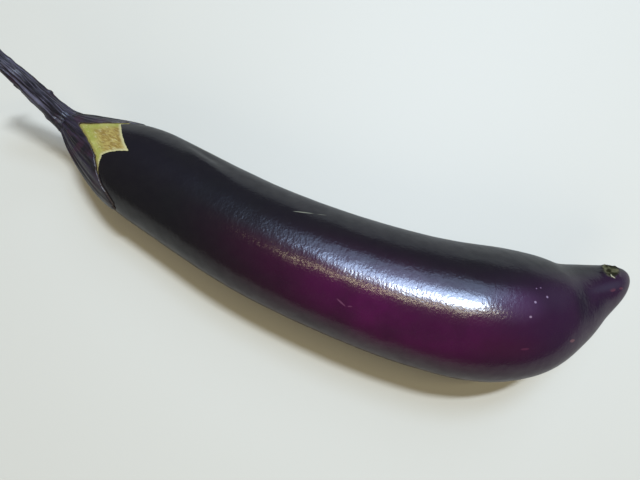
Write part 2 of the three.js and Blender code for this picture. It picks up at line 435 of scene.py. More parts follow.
def read_normals(mesh):
    """All point normals of a mesh as an array."""
    normals = np.empty(len(mesh.vertices) * 3)
    mesh.vertex_normals.foreach_get("vector", normals)
    return normals.reshape(-1, 3)


def read_values(mesh, name):
    """A stored number for every point."""
    values = np.empty(len(mesh.vertices))
    mesh.attributes[name].data.foreach_get("value", values)
    return values


def write_points(mesh, places):
    """Moves all points of a mesh."""
    mesh.vertices.foreach_set("co", places.ravel())
    mesh.update()


def write_places(mesh, name, values):
    """Stores a place for every point, for a material to read."""
    mesh.attributes.new(name, "FLOAT_VECTOR", "POINT").data.foreach_set("vector", np.ravel(values))


def write_values(mesh, name, values):
    """Stores a number for every point, for a material to read."""
    mesh.attributes.new(name, "FLOAT", "POINT").data.foreach_set("value", values)


def swell(distance, width):
    """A smooth bump: 1 at distance 0, fading out over about width."""
    return np.exp(-((distance / width) ** 2))


# %% [markdown]
# ## The fruit
# The fruit is the sweep with many rings, closest together at the shoulder and the beak, where the fine
# detail is. Its points are kept with their distance along and their bearing around, so that a mark can be
# placed as on a map.

# %% The fruit's bare shape
FRUIT_SIDES = 288
TIP_RINGS = 30  # rings past the last of these spacings, closer and closer to the tip
RING_SPACINGS = [  # up to this distance along, rings are this far apart, in millimetres
    (1, 0.12),
    (5, 0.35),
    (50, 0.55),
    (225, 1.25),
    (250, 0.7),
    (254, 0.35),
]


def ring_places(length):
    """Distances along the fruit for its rings."""
    places = [0.0]
    for end, spacing in RING_SPACINGS:
        count = round((end * MM - places[-1]) / (spacing * MM))
        places += list(np.linspace(places[-1], end * MM, count + 1)[1:])
    last = np.linspace(0, 1, TIP_RINGS)[1:]
    places += list(places[-1] + (length - places[-1]) * np.sin(last * math.pi / 2))
    return np.array(places)


skin, skin_tree, skin_shader = new_material(
    "waxy_skin", Specular_IOR_Level=0.0, Coat_Roughness=0.20, Coat_IOR=1.75)
rings = ring_places(fruit_body.length)
fruit = grown("fruit_skin", spine_mesh(fruit_body, rings), sweep_tree, sweep_inputs,
              Sides=FRUIT_SIDES, Finish=skin)
print("Fruit:", len(rings), "rings,", len(fruit.data.polygons), "faces")

fruit_along = read_values(fruit.data, "along")
places = read_points(fruit.data)
from_spine = places - fruit_body.look_up(fruit_body.middle, fruit_along)
across = (from_spine * fruit_body.look_up(fruit_body.side, fruit_along)).sum(axis=1)
upward = (from_spine * fruit_body.look_up(fruit_body.up, fruit_along)).sum(axis=1)
fruit_bearing = np.degrees(np.arctan2(upward, across))
fruit_bearing = np.where(fruit_bearing < -90, fruit_bearing + 360, fruit_bearing)
fruit_angle = np.radians(fruit_bearing)
fruit_radius = fruit_body.look_up(fruit_body.radius, fruit_along)
leaning = fruit_body.leaning(fruit_along, fruit_angle)
places = places + from_spine * (leaning - 1)[:, None]
write_points(fruit.data, places)

# %% [markdown]
# ## The calyx's outline
# The calyx is a lobed leaf cap. Its edge is given as on a map of the shoulder: a bearing around the fruit
# and a reach over the skin from the middle. One lobe, on top, has come away, so the edge runs back to the
# stem there.

# %% The calyx's outline
CALYX_OUTLINE = [  # bearing in degrees, reach in millimetres
    (-34, 19), (-20, 22), (-6, 29), (6, 34), (16, 34), (26, 29), (37, 24), (48, 18.5), (60, 14),
    (74, 10), (87, 14.5), (96, 19.5), (106, 25.5), (117, 30), (130, 34), (142, 41), (154, 45.5),
    (166, 45), (178, 35), (194, 24), (212, 29), (228, 38), (244, 27), (264, 20), (284, 28),
    (300, 36), (314, 27),
]
EDGE_STEPS = 24  # points of its edge from each of these to the next


def closed_curve(points, steps):
    """A smooth closed curve through points on a plane, with this many steps from each to the next."""
    points = np.asarray(points, dtype=float)
    t = (np.arange(steps) / steps)[:, None]
    curve = []
    for i in range(len(points)):
        a, b, c, d = (points[(i + k) % len(points)] for k in (-1, 0, 1, 2))
        slopes = ((c - a) / 2, (d - b) / 2)
        rise = 3 * t**2 - 2 * t**3
        part = b * (1 - rise) + c * rise
        curve.append(part + slopes[0] * (t**3 - 2 * t**2 + t) + slopes[1] * (t**3 - t**2))
    return np.vstack(curve)


def on_map(bearings_and_reaches):
    """Flat map places, in metres, of bearings in degrees and reaches in millimetres."""
    bearing, reach = np.array(bearings_and_reaches, dtype=float).T
    return np.column_stack([np.cos(np.radians(bearing)), np.sin(np.radians(bearing))]) * reach[:, None] * MM


def on_skin(flat, height=0.0):
    """Where flat map places lie over the fruit's skin."""
    along = fruit_body.along_at(np.hypot(flat[:, 0], flat[:, 1]))
    return fruit_body.at_height(along, np.arctan2(flat[:, 1], flat[:, 0]), np.full(len(flat), height))


calyx_edge = closed_curve(on_map(CALYX_OUTLINE), EDGE_STEPS)
edge_lengths = np.linalg.norm(np.diff(on_skin(calyx_edge), axis=0), axis=1)
print("The calyx's edge is", round(edge_lengths.sum() / MM), "mm round")


def inside_of(outline, flat):
    """Which flat places are inside a closed outline."""
    x, y = flat.T
    inside = np.zeros(len(flat), dtype=bool)
    for (ax, ay), (bx, by) in zip(outline, np.roll(outline, -1, axis=0)):
        crosses = (ay > y) != (by > y)
        inside ^= crosses & (x < (bx - ax) * (y - ay) / (by - ay + 1e-15) + ax)
    return inside


def depth_in(outline, flat, places):
    """How far inside a closed outline each place on the skin is, in metres. It is negative outside."""
    edge = on_skin(outline)
    nearest = np.full(len(places), np.inf)
    for point in edge:
        nearest = np.minimum(nearest, ((places - point) ** 2).sum(axis=1))
    return np.where(inside_of(outline, flat), 1, -1) * np.sqrt(nearest)


# %% [markdown]
# ## Marks on the skin
# Where the lost lobe lay, the skin never turned purple: a pale, corky patch with crisp corners runs from
# the calyx's edge. Its depth, the distance in from its outline, is stored for every point of the skin. The
# material then cuts its crisp edge at depth 0 and tints its rim, however coarse the mesh is.

# %% Marks on the skin
PATCH_OUTLINE = [  # bearing in degrees, reach in millimetres
    (74, 6), (60, 12), (48, 16), (37, 22), (26, 27.5), (27, 29.5), (32, 29), (39, 26.5), (52, 29.5),
    (64, 33), (73, 37), (81, 42.5), (86, 38.5), (91, 35.2), (98, 32), (103, 30.5), (108, 31.2),
    (116, 31.7), (124, 32.8), (134, 35.2), (143, 38), (140, 34), (120, 29), (100, 18),
]
NEAR_STEM = 60 * MM

near_stem = fruit_along < NEAR_STEM
reach = np.interp(fruit_along, fruit_body.along, fruit_body.over_skin)
flat = np.column_stack([np.cos(fruit_angle), np.sin(fruit_angle)]) * reach[:, None]


def depth_near_stem(outline):
    """depth_in for the fruit's points near the stem, and far outside for all others."""
    depth = np.full(len(places), -1.0)
    depth[near_stem] = depth_in(outline, flat[near_stem], places[near_stem])
    return depth


def polygon(points, spacing=0.5 * MM):
    """A closed outline of straight runs, as closely spaced points."""
    fine = []
    for a, b in zip(points, np.roll(points, -1, axis=0)):
        count = max(2, int(np.linalg.norm(b - a) / spacing))
        fine.append(a + (b - a) * (np.arange(count) / count)[:, None])
    return np.vstack(fine)


patch_depth = depth_near_stem(polygon(on_map(PATCH_OUTLINE)))
under_calyx = depth_near_stem(calyx_edge)
write_values(fruit.data, "patch_depth", patch_depth)
write_values(fruit.data, "under_calyx", under_calyx)
print("The patch covers", int((patch_depth > 0).sum()), "points")

# %% [markdown]
# ## Relief
# No eggplant is a perfect sweep. Broad, shallow swellings bend the highlight a little. There is a fold on
# the far side of the shoulder, blunt ridges run out over the beak, the blossom left a sunken, knobbly scar,
# and the underside is pressed flat where it lies.

# %% Relief of the skin
SCAR = (249.4, 49)  # distance along in millimetres, bearing in degrees
DENTS = [  # distance along, bearing, stretch, turn, height and width, in millimetres and degrees
    (43, 8, 2, 0, 0.70, 9),
    (63, 31, 3.5, 12, -0.55, 3.2),
    (62, 43, 4, 12, 0.40, 2.8),
]
BROAD_WAVES = 0.14 * MM
FINE_WAVES = 0.030 * MM
RIDGE_HEIGHT = 0.07 * MM
FOLD_DEPTH = 0.07 * MM
SCAR_DEPTH = 0.55 * MM
SCAR_RING = 3.1 * MM  # the radius of the knobbly ring round it
PATCH_SINK = 0.14 * MM


def from_mark(along, bearing, stretch=1.0, turn=0.0):
    """Each point's distance over the skin from a mark. A mark can be stretched along a turned direction."""
    ahead = fruit_along - along * MM
    around = np.radians(fruit_bearing - bearing) * fruit_radius
    c, s = math.cos(math.radians(turn)), math.sin(math.radians(turn))
    return np.hypot((ahead * c + around * s) / stretch, around * c - ahead * s)


def soft_waves(points, seed, count, longest, shortest):
    """A smooth, random unevenness, about -1 to 1: a sum of waves in random directions."""
    draw = np.random.default_rng(seed)
    total = np.zeros(len(points))
    for _ in range(count):
        heading = draw.normal(size=3)
        heading /= np.linalg.norm(heading)
        length = draw.uniform(shortest, longest)
        total += np.sin(points @ heading * math.tau / length + draw.uniform(0, math.tau))
    return total / math.sqrt(count)


on_beak = smooth_step(fruit_along, 214 * MM, 240 * MM)
relief = BROAD_WAVES * soft_waves(places, seed=3, count=9, longest=70 * MM, shortest=32 * MM)
relief *= 1 - 0.7 * on_beak
relief += FINE_WAVES * soft_waves(places, seed=8, count=16, longest=16 * MM, shortest=7 * MM)
for along, bearing, stretch, turn, height, width in DENTS:
    relief += height * MM * swell(from_mark(along, bearing, stretch, turn), width * MM)
ridges = np.cos(np.radians(fruit_bearing - 96) * 4) + 0.5 * np.cos(np.radians(fruit_bearing - 70) * 9)
relief += RIDGE_HEIGHT * ridges * on_beak * (1 - smooth_step(fruit_along, 250 * MM, 256 * MM))
fold = fruit_along - (231 - 0.10 * (fruit_bearing - 60)) * MM
on_top = smooth_step(fruit_bearing, 0, 50) * (1 - smooth_step(fruit_bearing, 125, 160))
relief -= FOLD_DEPTH * swell(fold, 2.6 * MM) * on_top
scar_distance = from_mark(*SCAR, stretch=1.5, turn=-35)
lumps = soft_waves(places, seed=21, count=12, longest=3.2 * MM, shortest=1.4 * MM)
relief -= SCAR_DEPTH * swell(scar_distance, 1.7 * MM)
relief += (0.45 + 0.22 * lumps) * MM * swell(scar_distance - SCAR_RING, 1.0 * MM)
relief += 0.14 * MM * lumps * swell(scar_distance, 2.2 * MM)
relief -= PATCH_SINK * smooth_step(patch_depth, 0, 0.5 * MM)
relief *= smooth_step(fruit_along, 0, 8 * MM)
places = places + read_normals(fruit.data) * relief[:, None]
places[:, 2] = np.maximum(places[:, 2], 0)
write_points(fruit.data, places)
print("Relief from", round(relief.min() / MM, 2), "to", round(relief.max() / MM, 2), "mm")

# %% [markdown]
# ## Where the skin is burgundy
# The skin holds so much pigment that it looks black, except on the near side, where less of it lets a
# burgundy through that turns violet towards the blossom end. "blush", "hot_spot" and "violet" say how
# much, point by point. "straight" is each point's place on the fruit with its spine drawn out straight, so
# that streaks can follow the fruit and small marks can be put on it by distance along and bearing.

# %% What the skin's material reads
near_side = smooth_step(fruit_bearing, 84, 102) * (1 - smooth_step(fruit_bearing, 168, 215))
near_side *= 1 - 0.45 * smooth_step(fruit_bearing, 102, 130)
blush = near_side * smooth_step(fruit_along, 62 * MM, 125 * MM)
hot_spot = swell(from_mark(160, 114, stretch=2.6), 15 * MM)
violet = smooth_step(fruit_along, 176 * MM, 216 * MM) * smooth_step(fruit_bearing, 40, 86)
violet *= 1 - smooth_step(fruit_bearing, 150, 200)
far_side = 1 - smooth_step(fruit_bearing, 70, 110)
straight = np.column_stack([fruit_along, np.cos(fruit_angle) * fruit_radius,
                            np.sin(fruit_angle) * fruit_radius])
for name, values in (("blush", blush), ("hot_spot", hot_spot), ("violet", violet), ("far_side", far_side),
                     ("scar_distance", scar_distance)):
    write_values(fruit.data, name, values)
write_places(fruit.data, "straight", straight)
print("Burgundy over", round(100 * float((blush > 0.5).mean())), "% of the skin's points")

# %% [markdown]
# ## Finish helpers
# A material reads what was stored on the mesh, and stretches noise along the fruit, the stem or a fibre.

# %% Helpers for finishes
def stored(tree, name, kind="Fac"):
    """A stored number, or place with kind "Vector", as a socket."""
    return add(tree, "ShaderNodeAttribute", attribute_name=name)[kind]


def stretched(tree, place, scale):
    """A place scaled by its own amount each way."""
    return add(tree, "ShaderNodeMapping", {"Vector": place, "Scale": scale}, vector_type="POINT")[0]


def bump(tree, height, depth, below=None):
    """Tilts the surface as if it had a relief: height from 0 to 1 over this depth in metres."""
    inputs = {"Height": height, "Distance": depth, "Strength": 1.0}
    if below is not None:
        inputs["Normal"] = below
    return add(tree, "ShaderNodeBump", inputs)["Normal"]


def line_mark(tree, place, along, bearing, length, width, turn=0.0):
    """How far a place is from a mark's middle, with 1 at the mark's border. A mark is a spot, or a line
    turned away from the fruit's length."""
    radius = float(fruit_body.look_up(fruit_body.radius, along * MM))
    b, a = math.radians(bearing), math.radians(turn)
    centre = Vector((along * MM, math.cos(b) * radius, math.sin(b) * radius))
    around = Vector((0, -math.sin(b), math.cos(b)))
    ahead = Vector((1, 0, 0))
    offset = add(tree, "ShaderNodeVectorMath", {0: place, 1: centre}, operation="SUBTRACT")[0]
    lengthwise = (ahead * math.cos(a) + around * math.sin(a)) / (length * MM / 2)
    crosswise = (around * math.cos(a) - ahead * math.sin(a)) / (width * MM / 2)
    ends = [add(tree, "ShaderNodeVectorMath", {0: offset, 1: axis}, operation="DOT_PRODUCT")["Value"]
            for axis in (lengthwise, crosswise)]
    flat = add(tree, "ShaderNodeCombineXYZ", {"X": ends[0], "Y": ends[1]})[0]
    return add(tree, "ShaderNodeVectorMath", {0: flat}, operation="LENGTH")["Value"]


# %% [markdown]
# ## The skin's pigment
# The base colour goes from black through burgundy to violet, with clouds and fine lengthwise streaks in it.
# Over it lie the corky patch by the calyx, the blossom's scar, and the small marks of a life on the plant:
# specks, scratches and scabs. Soft patches add a painted highlight where the highlight ends, a painted sheen
# along the beak's ridge and painted shade on the beak past its fold.

# %% The skin's colour
SPOTS = [  # along, bearing, length, width, turn, colour, strength
    (209.0, 81.5, 0.9, 0.9, 0, color(0.26, 0.18, 0.25), 0.8),
    (203.5, 85.0, 0.9, 0.9, 0, color(0.30, 0.22, 0.29), 0.8),
    (201.0, 96.0, 0.9, 0.8, 0, color(0.24, 0.16, 0.20), 0.8),
    (205.5, 73.5, 0.6, 0.6, 0, color(0.17, 0.10, 0.16), 0.6),
    (207.5, 73.0, 0.7, 0.6, 0, color(0.17, 0.10, 0.16), 0.6),
    (112.0, 52.0, 8.0, 0.45, -24, color(0.26, 0.25, 0.17), 0.6),
    (119.0, 44.8, 4.0, 0.35, -24, color(0.16, 0.15, 0.11), 0.5),
    (138.6, 118.5, 4.0, 0.6, 22, color(0.15, 0.05, 0.09), 0.45),
    (142.0, 119.0, 1.6, 0.5, -20, color(0.15, 0.05, 0.09), 0.35),
    (76.8, 149.0, 3.4, 1.0, 35, color(0.003, 0.002, 0.003), 1.0),
    (68.0, 143.0, 1.2, 1.0, 0, color(0.003, 0.002, 0.003), 0.8),
    (216.8, 124.5, 2.6, 1.2, 25, color(0.14, 0.055, 0.055), 0.5),
    (243.5, 100.0, 3.0, 1.1, 10, color(0.12, 0.03, 0.035), 0.5),
    (248.0, 108.0, 2.2, 0.8, 25, color(0.12, 0.03, 0.035), 0.45),
    (199.5, 120.0, 2.4, 0.8, 0, color(0.12, 0.025, 0.05), 0.4),
]

SOFT_MARKS_AND_PAINTED_LIGHT = [  # the same, fading out softly
    # painted highlight: a lighter violet haze where the highlight ends, here and in the next row
    (197.0, 86.0, 18.0, 11.0, 0, color(0.050, 0.020, 0.052), 0.6),
    (214.0, 82.0, 14.0, 10.0, 0, color(0.024, 0.012, 0.025), 0.5),
    # painted sheen: a pale line along the beak's ridge
    (242.5, 91.0, 20.0, 3.4, 8, color(0.025, 0.018, 0.030), 0.7),
    # painted shade: dark violet on the beak's faces past its fold, here and in the next row
    (225.5, 94.0, 8.0, 15.0, 20, color(0.0055, 0.0022, 0.0085), 0.9),
    (232.0, 112.0, 18.0, 8.0, 0, color(0.008, 0.002, 0.011), 0.8),
    # a red cloud in the skin's own colour
    (194.0, 120.0, 20.0, 10.0, 0, color(0.030, 0.003, 0.013), 0.4),
]


def marked(tree, tint, marks, border, middle):
    """A colour with marks laid over it. Each is nothing at its border, and full at its middle."""
    for along, bearing, length, width, turn, mark_tint, strength in marks:
        off = line_mark(tree, straight_place, along, bearing, length, width, turn)
        tint = blend(tree, between(tree, off, border, middle, 0, strength), tint, mark_tint)
    return tint


t = skin_tree
object_place = add(t, "ShaderNodeTexCoord")["Object"]
straight_place = stored(t, "straight", "Vector")
streaks = noise(t, stretched(t, straight_place, (40, 420, 420)), 1, detail=3)
clouds = noise(t, object_place, 45, detail=3)
mottle = noise(t, object_place, 260, detail=3)

night = blend(t, stored(t, "far_side"), color(0.0042, 0.0032, 0.0050), color(0.0044, 0.0036, 0.0060))
night = blend(t, between(t, clouds, 0.3, 0.7, 0, 0.4), night, color(0.0038, 0.0046, 0.0048))
blushing = calculate(t, "MULTIPLY", stored(t, "blush"), between(t, clouds, 0.25, 0.65, 0.70, 1.0))
blushing = calculate(t, "MULTIPLY", blushing, between(t, streaks, 0.25, 0.75, 0.8, 1.0))
peel = blend(t, blushing, night, color(0.0165, 0.0012, 0.0085))
peel = blend(t, calculate(t, "MULTIPLY", stored(t, "hot_spot"), between(t, clouds, 0.3, 0.6, 0.5, 1.0)),
             peel, color(0.050, 0.0018, 0.0290))
peel = blend(t, calculate(t, "MULTIPLY", stored(t, "violet"), 0.85), peel, color(0.0165, 0.0048, 0.0175))
peel = marked(t, peel, SPOTS, border=1.25, middle=0.7)
# the soft marks lay painted highlight, painted sheen and painted shade, and one red cloud, over the skin
peel = marked(t, peel, SOFT_MARKS_AND_PAINTED_LIGHT, border=1.6, middle=0.1)
print("Marks on the skin:", len(SPOTS), "crisp and", len(SOFT_MARKS_AND_PAINTED_LIGHT), "soft")

# %% [markdown]
# ## The patch and the scar
# The patch is pale green where the calyx shaded it, and tan cork with scratchy lines where it lay open. Its
# rim is cream. The scar is olive, with a pale flaw in it.

# %% The patch's and the scar's colours
CREAM = color(0.34, 0.29, 0.15)
FLAW_TURNS = (62, -52)  # degrees: the two strokes of the scar's pale flaw

grain = noise(t, object_place, 200, detail=4, roughness=0.6, distortion=0.6)
scratch_place = add(t, "ShaderNodeMapping", {"Vector": straight_place, "Rotation": (0, 0, math.radians(38)),
                                             "Scale": (160, 900, 500)}, vector_type="POINT")[0]
cork_lines = noise(t, scratch_place, 1, detail=4, distortion=1.0)
ragged = calculate(t, "MULTIPLY_ADD", calculate(t, "SUBTRACT", grain, 0.5), 0.0010,
                   stored(t, "patch_depth"))
in_patch = between(t, ragged, 0.0, 0.00020)
cork = blend(t, between(t, cork_lines, 0.38, 0.60), color(0.265, 0.195, 0.058), color(0.165, 0.103, 0.027))
green = blend(t, between(t, grain, 0.3, 0.7), color(0.285, 0.262, 0.076), color(0.200, 0.190, 0.040))
near_calyx = calculate(t, "MULTIPLY_ADD", grain, 0.004, stored(t, "under_calyx"))
calyx_side = between(t, near_calyx, -0.0040, 0.0008)
flesh = blend(t, calyx_side, cork, green)
flesh = blend(t, between(t, ragged, 0.0016, 0.0003), flesh, color(0.335, 0.29, 0.14))
pale_lines = noise(t, stretched(t, straight_place, (200, 900, 500)), 1.4, detail=3)
flesh = blend(t, between(t, pale_lines, 0.56, 0.70, 0, 0.55), flesh, CREAM)
seam = between(t, stored(t, "under_calyx"), -0.0012, -0.0003, 0, 0.75)
flesh = blend(t, seam, flesh, color(0.16, 0.12, 0.035))
dark_rim = calculate(t, "MULTIPLY", between(t, ragged, -0.0007, -0.0001), 0.8)
peel = blend(t, dark_rim, peel, color(0.003, 0.003, 0.003))
peel = blend(t, in_patch, peel, flesh)

scar_edge = calculate(t, "MULTIPLY_ADD", calculate(t, "SUBTRACT", grain, 0.5), 0.0032,
                      stored(t, "scar_distance"))
in_scar = between(t, scar_edge, 0.0038, 0.0026)
scar_color = blend(t, between(t, mottle, 0.40, 0.58), color(0.012, 0.011, 0.005), color(0.080, 0.072, 0.038))
peel = blend(t, in_scar, peel, scar_color)
for turn in FLAW_TURNS:
    flaw = line_mark(t, straight_place, 247.2, 71.0 + turn * 0.04, 2.2, 0.45, turn)
    peel = blend(t, between(t, flaw, 1.2, 0.7, 0, 0.8), peel, color(0.34, 0.30, 0.20))
t.links.new(peel, skin_shader.inputs["Base Color"])

# %% [markdown]
# ## The skin's gloss
# All the gloss comes from one coat, the wax. Any clear coat turns bright towards the edges, where the skin
# is seen at a slant. A high index with a low weight keeps that down and still mirrors the lamps, and the
# shader's own reflection under the coat is off. Pores, and fine wrinkles mostly round the fruit, break the
# wax up. Cork and scar are dull.

# %% The skin's gloss
WAX_MOST, WAX_LEAST, WAX_ON_CORK = 0.46, 0.38, 0.05
PORE_DEPTH = 0.044 * MM
WRINKLE_DEPTH = 0.068 * MM
CORK_DEPTH = 0.35 * MM

dull = calculate(t, "MAXIMUM", in_patch, in_scar)
bare_wax = between(t, mottle, 0.3, 0.7, WAX_MOST, WAX_LEAST)
wax = add(t, "ShaderNodeMix", {0: dull, 2: bare_wax, 3: WAX_ON_CORK})[0]
t.links.new(wax, skin_shader.inputs["Coat Weight"])

pores = noise(t, object_place, 950, detail=2)
wrinkles = noise(t, stretched(t, straight_place, (820, 500, 500)), 1, detail=2, distortion=0.5)
fine = bump(t, pores, PORE_DEPTH)
fine = bump(t, wrinkles, WRINKLE_DEPTH, fine)
cork_relief = calculate(t, "MULTIPLY", cork_lines, in_patch)
fine = bump(t, cork_relief, CORK_DEPTH, fine)
t.links.new(fine, skin_shader.inputs["Normal"])
t.links.new(fine, skin_shader.inputs["Coat Normal"])

# %% [markdown]
# ## The calyx
# The calyx is one leathery sheet, thick around the stem and thin at its ragged edge. Its mesh is a round
# grid on the map of the shoulder, drawn out to the outline and laid over the skin: an outer face, a rim and
# an inner face that dips into the skin, so that no gap shows. Each lobe has a rib, and fibres fan out from
# the stem.

# %% The calyx's mesh
NECK_RISE = 2.2 * MM  # how much thicker the leaf gets towards the stem
NECK_REACH = 5.5 * MM
BLADE_THICKNESS = 1.3 * MM
EDGE_THICKNESS = 0.6 * MM
CALYX_SIDES = len(calyx_edge)
CALYX_RINGS = 72
LOBE_BEARINGS = (12, 160, 228, 300)  # where the standing lobes point
SINK = 0.25 * MM  # how far the inner face dips into the skin
RAGGEDNESS = 9 * MM
ROUNDED_SHARE = 0.03  # the outermost share of the outer face, which rounds down to the edge
RIB_HEIGHT = 0.45 * MM
RIB_WIDTH = 1.3 * MM
FIBRE_HEIGHT = 0.12 * MM
FIBRES_ROUND = 5.0  # how fine the fibres are, around the stem and along it
FIBRES_ALONG = 70.0


def calyx_height(reach, share):
    """The outer face's height over the skin at a reach, and a share of the way out to the edge."""
    blade = BLADE_THICKNESS + (EDGE_THICKNESS - BLADE_THICKNESS) * share
    return blade + NECK_RISE * swell(reach, NECK_REACH)


def make_calyx():
    """The calyx's mesh. Each point stores how far in from the edge it is, how high round the fruit, and
    its place along the fibres."""
    draw = np.random.default_rng(11)
    edge_reach = np.hypot(*calyx_edge.T)
    edge_bearing = np.arctan2(calyx_edge[:, 1], calyx_edge[:, 0])
    side = np.arange(CALYX_SIDES)
    ragged = np.zeros(CALYX_SIDES)
    for waves in (17, 31, 53, 89, 131):
        strength, shift = draw.uniform(0.4, 1), draw.uniform(0, 6)
        ragged += strength * np.sin(side * math.tau * waves / CALYX_SIDES + shift) / waves
    ragged *= RAGGEDNESS * smooth_step(edge_reach, 10 * MM, 18 * MM)
    share = np.concatenate([np.linspace(0, 1, CALYX_RINGS + 1), np.linspace(1, 0, CALYX_RINGS // 3)])
    outer = np.arange(len(share)) <= CALYX_RINGS
    rows, values = [], []
    for row_share, is_outer in zip(share, outer):
        reach = row_share * (edge_reach + ragged * row_share**6)
        height = np.full(CALYX_SIDES, -SINK)
        if is_outer:
            height = calyx_height(reach, np.full(CALYX_SIDES, row_share))
            past = max(0.0, (row_share - (1 - ROUNDED_SHARE)) / ROUNDED_SHARE)
            rounding = math.sqrt(max(0.0, 1 - past ** 2))
            height = height * rounding - SINK * (1 - rounding)
            for lobe in np.radians(LOBE_BEARINGS):
                off = np.abs(np.angle(np.exp(1j * (edge_bearing - lobe)))) * reach
                rib = swell(off, RIB_WIDTH) * smooth_step(reach, 5 * MM, 12 * MM)
                height += RIB_HEIGHT * rib * (1 - row_share**4)
            fibres = np.sin(edge_bearing * 23 + 2 * np.sin(edge_bearing * 5)) + 0.7 * np.sin(
                edge_bearing * 41 + 1.3 + 3 * np.sin(edge_bearing * 3))
            height += FIBRE_HEIGHT * fibres * smooth_step(reach, 1 * MM, 5 * MM) * (1 - row_share**3)
        along = fruit_body.along_at(reach)
        rows.append(fruit_body.at_height(along, edge_bearing, height))
        from_edge = (1 - row_share) * edge_reach
        values.append(np.column_stack([from_edge, reach, edge_bearing]))
    points = np.vstack(rows)
    values = np.vstack(values)
    faces = []
    for row in range(len(share) - 1):
        for i in range(CALYX_SIDES):
            j = (i + 1) % CALYX_SIDES
            a, b = row * CALYX_SIDES, (row + 1) * CALYX_SIDES
            faces.append((a + i, b + i, b + j, a + j))
    mesh = bpy.data.meshes.new("calyx_leaf")
    mesh.from_pydata(points.tolist(), [], faces)
    write_values(mesh, "from_edge", values[:, 0])
    write_values(mesh, "upward", np.sin(values[:, 2]))
    write_places(mesh, "fibre", fibre_place(values[:, 2], values[:, 1]))
    return mesh


def fibre_place(bearing, distance):
    """A place for noise to read that is drawn out along the fibres, which fan out from the stem."""
    return np.column_stack([np.cos(bearing) * FIBRES_ROUND, np.sin(bearing) * FIBRES_ROUND,
                            distance * FIBRES_ALONG])


def weld(mesh):
    """Merges points that share a place, and turns all faces outwards."""
    work = bmesh.new()
    work.from_mesh(mesh)
    bmesh.ops.remove_doubles(work, verts=work.verts, dist=SAME_PLACE)
    bmesh.ops.recalc_face_normals(work, faces=work.faces)
    for face in work.faces:
        face.smooth = True
    work.to_mesh(mesh)
    work.free()
    mesh.update()


leaf, leaf_tree, leaf_shader = new_material("calyx_leather", IOR=1.45, Specular_IOR_Level=0.4)
calyx_mesh = make_calyx()
weld(calyx_mesh)
calyx_mesh.materials.append(leaf)
calyx = bpy.data.objects.new("calyx_leaf", calyx_mesh)
bpy.context.collection.objects.link(calyx)
print("Calyx:", len(calyx_mesh.polygons), "faces")

# %% [markdown]
# ## The calyx's finish
# Stem and calyx share one look: near-black violet, with paler violet-grey fibres that run from the stem
# out into the lobes. The calyx is burgundy in places, grey-green underneath, and brown where its edge dried.

# %% The calyx's finish
def fibrous(tree, dark, pale, red):
    """The colour that stem and calyx share, its fibre noise and its clouds."""
    place = add(tree, "ShaderNodeTexCoord")["Object"]
    fibres = noise(tree, stored(tree, "fibre", "Vector"), 1, detail=4, roughness=0.62)
    clouds = noise(tree, place, 150, detail=4, roughness=0.6)
    tint = blend(tree, between(tree, fibres, 0.40, 0.66), dark, pale)
    tint = blend(tree, between(tree, clouds, 0.50, 0.66, 0, 0.6), tint, red)
    return tint, fibres, clouds


t = leaf_tree
leather, fibres, clouds = fibrous(t, color(0.0036, 0.0026, 0.0042), color(0.020, 0.015, 0.024),
                                  color(0.024, 0.006, 0.014))
grain = noise(t, add(t, "ShaderNodeTexCoord")["Object"], 900, detail=3)
under_side = between(t, stored(t, "upward"), 0.45, -0.1)
mossy = calculate(t, "MULTIPLY", under_side, between(t, clouds, 0.38, 0.62))
leather = blend(t, mossy, leather, color(0.075, 0.085, 0.070))
edge_noise = calculate(t, "MULTIPLY_ADD", calculate(t, "SUBTRACT", clouds, 0.5), 0.003,
                       stored(t, "from_edge"))
leather = blend(t, between(t, edge_noise, 0.0009, 0.0002, 0, 0.7), leather, color(0.045, 0.030, 0.020))
t.links.new(leather, leaf_shader.inputs["Base Color"])
t.links.new(between(t, clouds, 0.3, 0.7, 0.34, 0.52), leaf_shader.inputs["Roughness"])
relief_normal = bump(t, fibres, 0.40 * MM)
relief_normal = bump(t, grain, 0.06 * MM, relief_normal)
t.links.new(relief_normal, leaf_shader.inputs["Normal"])

# %% [markdown]
# ## The stem
# The stem is the same sweep with five blunt ridges, and fibres between them. It widens into the calyx
# without a seam. A few humps show where something broke off. At the cut it is a little swollen.

# %% The stem
bark, bark_tree, bark_shader = new_material("stem_bark", IOR=1.45, Specular_IOR_Level=0.45)
STEM_SIDES = 140
STEM_RINGS = 190
STEM_HUMPS = [  # distance along in millimetres, bearing in degrees, height and width in millimetres
    (16.3, 8, 0.9, 1.2), (10.0, 172, 0.4, 1.5), (26.0, 182, 0.4, 1.2), (34.0, 5, 0.35, 1.6),
    (39.0, 176, 0.8, 1.7), (44.5, 170, 0.5, 1.2),
]
BLUNT_RIDGES = 5
RIDGE_SHARE = 0.05  # how far they stand out, as a share of the radius
stem_rings = np.linspace(0, stem_body.length, STEM_RINGS)
stem = grown("stem_stalk", spine_mesh(stem_body, stem_rings), sweep_tree, sweep_inputs,
             Sides=STEM_SIDES, Ridges=BLUNT_RIDGES, Ridge_Share=RIDGE_SHARE, Closed_Ends=True,
             Finish=bark)
stem_along = read_values(stem.data, "along")
stem_places = read_points(stem.data)
from_spine = stem_places - stem_body.look_up(stem_body.middle, stem_along)
stem_bearing = np.arctan2((from_spine * stem_body.look_up(stem_body.up, stem_along)).sum(axis=1),
                          -(from_spine * stem_body.look_up(stem_body.side, stem_along)).sum(axis=1))
winding = 1.2 * np.sin(stem_along / (6.5 * MM)) + 0.7 * np.sin(stem_along / (2.9 * MM) + 1)
stem_relief = 0.10 * MM * np.sin(stem_bearing * 9 + winding)
stem_relief += 0.08 * MM * np.sin(stem_bearing * 16 - 2 * winding)
